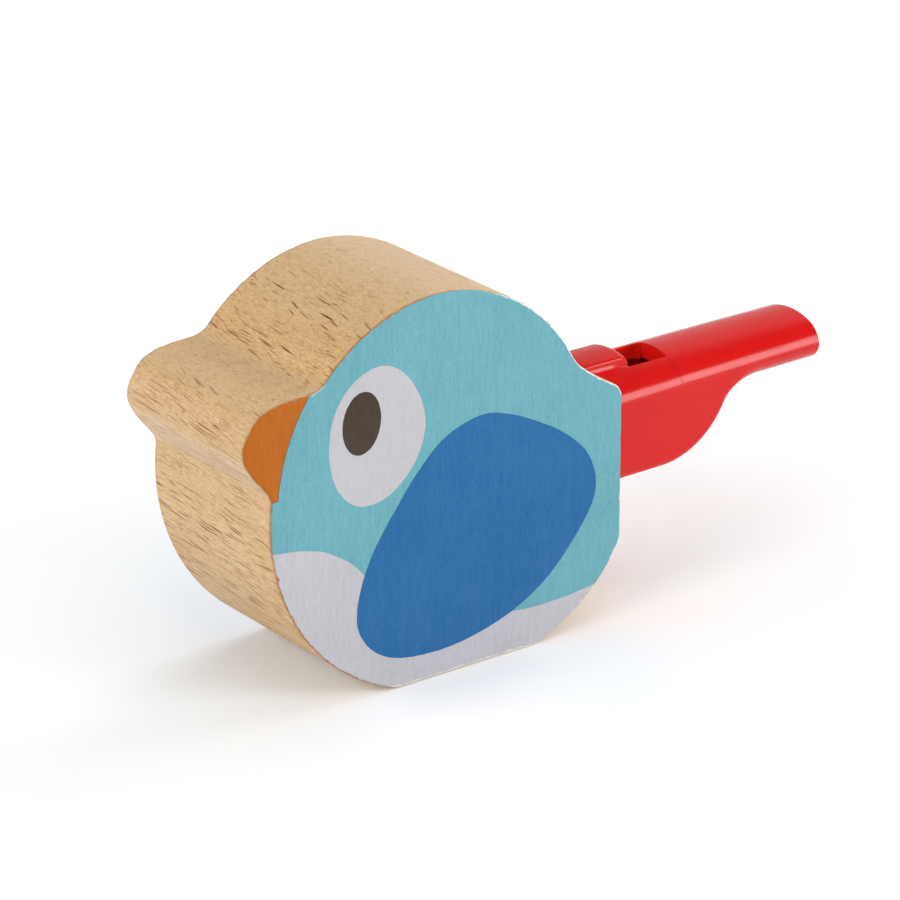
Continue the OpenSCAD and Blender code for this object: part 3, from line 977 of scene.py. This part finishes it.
def coat(name, tone, rim=None, rough=0.42, streak=1.0, specks=1.0, spread=0.1, wear_and_highlight_by=1.0):
    """Satin paint over beech end grain: the fine upright lines of the wood show through it."""
    m = Mat(name)
    x, y, z = m.place()
    deep = [v * (1 - spread) for v in tone]
    pale = [v + (1 - v) * spread * 0.25 + v * spread * 0.8 for v in tone]
    lean = (m.noise(m.vec(x * 0.05, 0.0, z * 0.05), 1.0, 1.0) - 0.5) * 1.6
    xs = x + lean
    broad = m.noise(m.vec(xs * 0.7, y * 0.2, z * 0.05), 1.0, 2.0, 0.55)
    lines = m.noise(m.vec(xs * 1.9, y, z * 0.3), 1.0, 2.0, 0.5)
    hairs = m.noise(m.vec(xs * 2.9, y, z * 1.3), 1.0, 1.0, 0.5)
    cloud = m.noise(m.vec(x * 0.06, y, z * 0.06), 1.0, 3.0, 0.5)
    v = (broad - 0.5) * (0.7 * streak) + (lines - 0.5) * (1.35 * streak) + (hairs - 0.5) * (1.2 * streak)
    v = v + (cloud - 0.5) * 0.9
    col = m.mix(m.math("ADD", v, 0.5, clamp=True), deep, pale)
    # pin holes and specks of dust under the coat
    d, c = m.cells(m.vec(x / 3.2, y / 3.2, z / 3.2))
    dot = m.ease(d, m.ease(c[0], 0.62, 1.0, 0.0, 0.045), 0.0) * m.ease(c[1], 0.3, 0.9)
    col = m.mix(dot * (0.75 * specks), col, lin(232, 236, 238))
    d2, c2 = m.cells(m.vec((x + 40) / 1.7, y / 1.7, (z + 9) / 2.4))
    pit = m.ease(d2, m.ease(c2[0], 0.7, 1.0, 0.0, 0.07), 0.0)
    col = m.mix(pit * (0.45 * specks), col, [q * 0.8 for q in tone])
    if rim is not None:
        inner = m.attr("rim_in")
        col = m.mix(m.ease(inner, 0.1, 0.9, 0.0, rim[1]), col, rim[0])
    # the paint's outer rim goes near-white at the crown's back slope, the beak's tip and the foot: partly worn-through
    # paint, partly a painted highlight on the rounded edge
    outer = m.attr("rim_out")
    bits = m.noise(m.vec(x * 1.3, y * 1.3, z * 1.3), 1.0, 3.0, 0.7)
    back = m.ease(x, -16, -8) * m.ease(z, 36.2, 37.2)
    under = m.ease(z, 1.2, 0.5)
    tip = m.ease(x, -46.0, -45.2) * m.ease(x, -42.9, -43.6) * m.ease(z, 49.0, 49.8) * 0.6
    back = m.math("MAXIMUM", back, tip)
    reach = outer + (bits - 0.5) * 0.9
    wear_and_highlight = m.ease(reach, 0.62, 0.9) * m.math("MAXIMUM", back, under) * m.ease(outer, 0.05, 0.4)
    col = m.mix(wear_and_highlight * (0.9 * wear_and_highlight_by), col, lin(238, 240, 238))
    # a thin dark brown line, in patches, along the paint's outer rim on the front
    front = m.ease(x, -18, -28) * (1 - under)
    brown_rim = m.ease(outer, 0.86, 0.98) * front * m.ease(bits, 0.3, 0.5)
    col = m.mix(brown_rim * 0.9, col, lin(150, 86, 40))
    # painted shade: the coats are made a little darker towards the bottom
    low = m.mix(m.ease(z, 2, 36), (0.95, 0.935, 0.955), (1.0, 1.0, 1.0))
    col = m.mix(1.0, col, low, "MULTIPLY")
    m.put(m.bsdf.inputs["Base Color"], col)
    m.put(m.bsdf.inputs["Roughness"], m.ease(lines, 0.2, 0.8, rough - 0.05, rough + 0.07) + dot * 0.15)
    m.bsdf.inputs["Specular IOR Level"].default_value = 0.1
    h = lines * 0.7 + hairs * 0.35 + broad * 0.4 + dot * 0.8 - pit * 1.2
    m.put(m.bsdf.inputs["Normal"], m.bump(h, 0.3, 0.00004))
    return m.mat


def red_plastic():
    m = Mat("red_plastic")
    x, y, z = m.place()
    flow = m.noise(m.vec(x * 0.05, y * 0.11, z * 0.11), 1.0, 2.0, 0.5)
    swirl = m.noise(m.vec(x * 0.4, y * 0.6, z * 0.6), 1.0, 3.0, 0.6, dist=0.6)
    grit = m.noise(m.vec(x * 7, y * 7, z * 7), 1.0, 2.0, 0.6)
    col = m.mix(m.ease(flow, 0.35, 0.7), lin(205, 18, 16), lin(200, 14, 12))
    col = m.mix(m.ease(swirl, 0.55, 0.8, 0.0, 0.25), col, lin(209, 25, 20))
    # painted light: inside the window and the chamber the red is made brighter and fuller, where little lamp light
    # reaches
    wide = m.math("ABSOLUTE", y)
    hole = m.ease(wide, 3.66, 3.6) * m.ease(x, 21.5, 21.6) * m.ease(x, 29.08, 29.02) * m.ease(z, 36.0, 35.5)
    room = m.ease(wide, 6.58, 6.5) * m.ease(x, 29.08, 29.02) * m.ease(z, 33.3, 33.1) * m.ease(z, 19.9, 20.2)
    col = m.mix(m.math("MAXIMUM", hole, room) * 0.8, col, (0.93, 0.016, 0.008))
    d, c = m.cells(m.vec(x / 5.5, y / 5.5, z / 5.5))
    dot = m.ease(d, m.ease(c[0], 0.6, 1.0, 0.0, 0.03), 0.0)
    col = m.mix(dot * 0.5, col, lin(120, 8, 8))
    m.put(m.bsdf.inputs["Base Color"], col)
    scuff = m.noise(m.vec(x * 0.25, y * 1.8, z * 1.8), 1.0, 3.0, 0.7)
    m.put(m.bsdf.inputs["Roughness"], m.ease(scuff, 0.45, 0.85, 0.19, 0.32) + m.ease(grit, 0.6, 0.9, 0.0, 0.04))
    m.bsdf.inputs["Specular IOR Level"].default_value = 0.28
    h = flow * 3.0 + swirl * 0.5 + grit * 0.03 + dot * 0.15
    m.put(m.bsdf.inputs["Normal"], m.bump(h, 0.25, 0.00012))
    return m.mat


def cork():
    m = Mat("cork_grain")
    x, y, z = m.place()
    body = m.noise(m.vec(x * 0.6, y * 0.6, z * 0.6), 1.0, 4.0, 0.6)
    d, c = m.cells(m.vec(x / 0.55, y / 0.55, z / 0.55))
    grain = m.ease(d, 0.0, 0.5)
    dark = m.noise(m.vec(x * 1.5, y * 0.5, z * 1.5), 1.0, 3.0, 0.7)
    col = m.mix(m.ease(body, 0.3, 0.7), lin(205, 160, 112), lin(181, 132, 84))
    col = m.mix(m.ease(dark, 0.58, 0.75, 0.0, 0.85), col, lin(96, 60, 34))
    col = m.mix(grain * 0.25, col, lin(150, 104, 64))
    m.put(m.bsdf.inputs["Base Color"], col)
    m.put(m.bsdf.inputs["Roughness"], m.ease(body, 0.2, 0.8, 0.72, 0.92))
    h = grain * 0.5 + body - m.ease(dark, 0.58, 0.75) * 1.2
    m.put(m.bsdf.inputs["Normal"], m.bump(h, 0.6, 0.0002))
    return m.mat


# ---------------------------------------------------------------- the model
wood = block()
wood.data.materials.append(beech())
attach(wood, "block")
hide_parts("bird_body")

LILAC = (0.486, 0.480, 0.508)
coats = {
    "blue": (coat("light_blue_coat", (0.132, 0.367, 0.424)), "light_blue_paint"),
    "belly": (coat("belly_coat", LILAC, spread=0.08), "lilac_white_paint"),
    "eye_white": (coat("eye_coat", LILAC, spread=0.06), "lilac_white_paint"),
    "wing": (coat("wing_coat", (0.0105, 0.124, 0.319), streak=0.7), "wing_blue_paint"),
    "pupil": (coat("pupil_coat", (0.0475, 0.028, 0.0175), streak=0.4, specks=0.4), "pupil_paint"),
    "beak": (coat("beak_coat", (0.445, 0.111, 0.0006), (lin(104, 66, 30), 0.9), streak=0.7, wear_and_highlight_by=0.6), "beak_paint"),
}
for side, tag in ((-1, "left"), (1, "right")):
    for k, ob in paint(side).items():
        mat, slot = coats[k]
        ob.data.materials.append(mat)
        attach(ob, "block")
        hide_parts(f"{tag}_{k}_paint")

red = red_plastic()
for ob, node in zip(whistle(), ("whistle_body", "mouthpiece_cover", "end_plug")):
    ob.data.materials.append(red)
    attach(ob, "whistle")
    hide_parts(node)

ball = cork_pea()
ball.data.materials.append(cork())
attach(ball, "pea")
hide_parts("pea")

# ---------------------------------------------------------------- floor, light and camera


def floor():
    me = bpy.data.meshes.new("floor")
    n, r = 48, 6.0
    pts = [(r * math.cos(2 * math.pi * i / n), r * math.sin(2 * math.pi * i / n), 0.0) for i in range(n)]
    me.from_pydata(pts, [], [list(range(n))])
    ob = bpy.data.objects.new("floor", me)
    bpy.context.scene.collection.objects.link(ob)
    m = Mat("studio_floor")
    x, y, z = m.place()
    tone = m.noise(m.vec(x * 0.004, y * 0.004, z), 1.0, 2.0)
    col = m.mix(tone, (0.928, 0.932, 0.934), (0.935, 0.939, 0.941))

    # slight tints that take back the colour which the object throws onto the white floor
    def near(cx, cy, rx, ry):
        n = m.node("ShaderNodeVectorMath", operation="LENGTH")
        m.put(n.inputs[0], m.vec((x - cx) / rx, (y - cy) / ry, 0.0))
        return m.ease(S(m, n.outputs["Value"]), 1.0, 0.15)

    col = m.mix(near(-48, 3, 46, 28), col, (0.90, 0.955, 0.999))
    col = m.mix(near(33, -4, 38, 22), col, (0.885, 0.98, 0.98))
    col = m.mix(near(-25, -29, 26, 15), col, (1.0, 0.975, 0.945))
    m.put(m.bsdf.inputs["Base Color"], col)
    m.bsdf.inputs["Roughness"].default_value = 0.9
    m.bsdf.inputs["Specular IOR Level"].default_value = 0.1
    me.materials.append(m.mat)


def area(name, at, target, size, power, tint=(1, 1, 1)):
    d = bpy.data.lights.new(name, "AREA")
    d.shape = "RECTANGLE"
    d.size, d.size_y = size
    d.energy = power
    d.color = tint
    ob = bpy.data.objects.new(name, d)
    ob.location = at
    ob.rotation_mode = "QUATERNION"
    ob.rotation_quaternion = (Vector(target) - Vector(at)).to_track_quat("-Z", "Y")
    bpy.context.scene.collection.objects.link(ob)
    return ob


def soft(name, azimuth, elevation, distance, size, bright):
    """A soft panel that faces the object; bright is its radiance, where the white floor's is about 1."""
    a, e = math.radians(azimuth), math.radians(elevation)
    at = (distance * math.cos(a) * math.cos(e), distance * math.sin(a) * math.cos(e), distance * math.sin(e) + 0.02)
    return area(name, at, (0, 0, 0.02), size, bright * math.pi * size[0] * size[1])


floor()
PANELS = {
    "right_front": (-53.5, 13.5, 1.2, (0.55, 0.48), 8.75),
    "right_back": (7, 25, 1.2, (1.35, 0.8), 2.9),
    "left": (142, 22, 1.2, (0.7, 0.6), 3.2),
    "left_front": (187, 28, 1.2, (0.8, 0.6), 4.5),
    "high_front": (-105, 52, 1.2, (0.8, 0.7), 1.8),
    "top": (52, 86, 1.25, (0.9, 0.9), 1.15),
    "back": (52, 26, 1.7, (2.8, 1.5), 0.48),
}
for name, (azimuth, elevation, distance, size, bright) in PANELS.items():
    soft(name, azimuth, elevation, distance, size, bright)
# this one only fills: its mirror image would be a hard stripe along the mouthpiece
bpy.data.objects["right_back"].visible_glossy = False

world = bpy.data.worlds.new("studio")
bpy.context.scene.world = world
world.use_nodes = True
bg = world.node_tree.nodes["Background"]
bg.inputs[0].default_value = (1, 1, 1, 1)
bg.inputs[1].default_value = 0.15

scene = bpy.context.scene
scene.view_settings.view_transform = "Standard"
scene.view_settings.look = "None"
scene.view_settings.exposure = 0
scene.view_settings.gamma = 1

cam = bpy.data.cameras.new("camera")
cam.lens, cam.sensor_width, cam.sensor_fit = 172.75, 36.0, "HORIZONTAL"
cam.clip_start, cam.clip_end = 0.02, 30
eye = bpy.data.objects.new("camera", cam)
scene.collection.objects.link(eye)
view = Vector((0.5568, 0.7401, -0.3770)).normalized()
eye.location = Vector((-0.02117, -0.015, 0.0356)) - view * 0.6270
eye.rotation_mode = "QUATERNION"
eye.rotation_quaternion = view.to_track_quat("-Z", "Y")
scene.camera = eye
